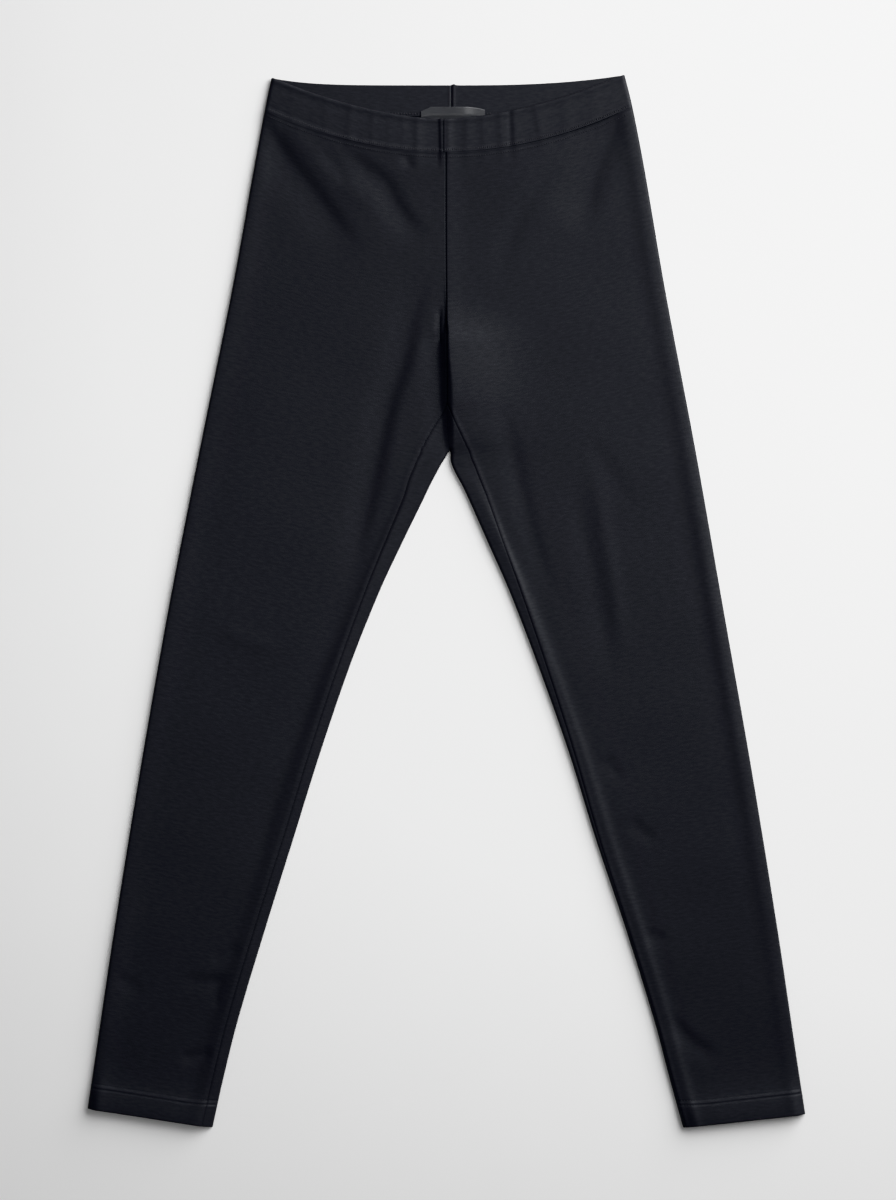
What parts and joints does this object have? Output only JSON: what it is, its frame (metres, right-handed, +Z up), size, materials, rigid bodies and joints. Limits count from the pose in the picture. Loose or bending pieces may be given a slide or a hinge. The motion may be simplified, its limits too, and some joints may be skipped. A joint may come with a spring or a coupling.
{
  "type": "leggings",
  "caption": "Plain pull-on leggings in double-knit jersey with an elastic waistband, laid flat on their back with the front up and the legs apart.",
  "frame": {"origin": "on the table, in the middle of the laid garment's footprint", "axes": "+Z up from the table, out of the front; +Y from the hems to the waist; +X towards the wearer's left"},
  "size_m": [0.663, 0.9726, 0.0068],
  "materials": {
    "knit_leg_right": "matt black double-knit jersey",
    "knit_leg_left": "matt black double-knit jersey",
    "knit_band_right": "matt black double-knit jersey, folded over elastic",
    "knit_band_left": "matt black double-knit jersey, folded over elastic",
    "satin_label": "dark grey satin"
  },
  "bodies": {
    "root": {"leg_right": "knit_leg_right", "leg_left": "knit_leg_left", "waistband_right": "knit_band_right", "waistband_left": "knit_band_left", "label": "satin_label"}
  },
  "joints": []
}
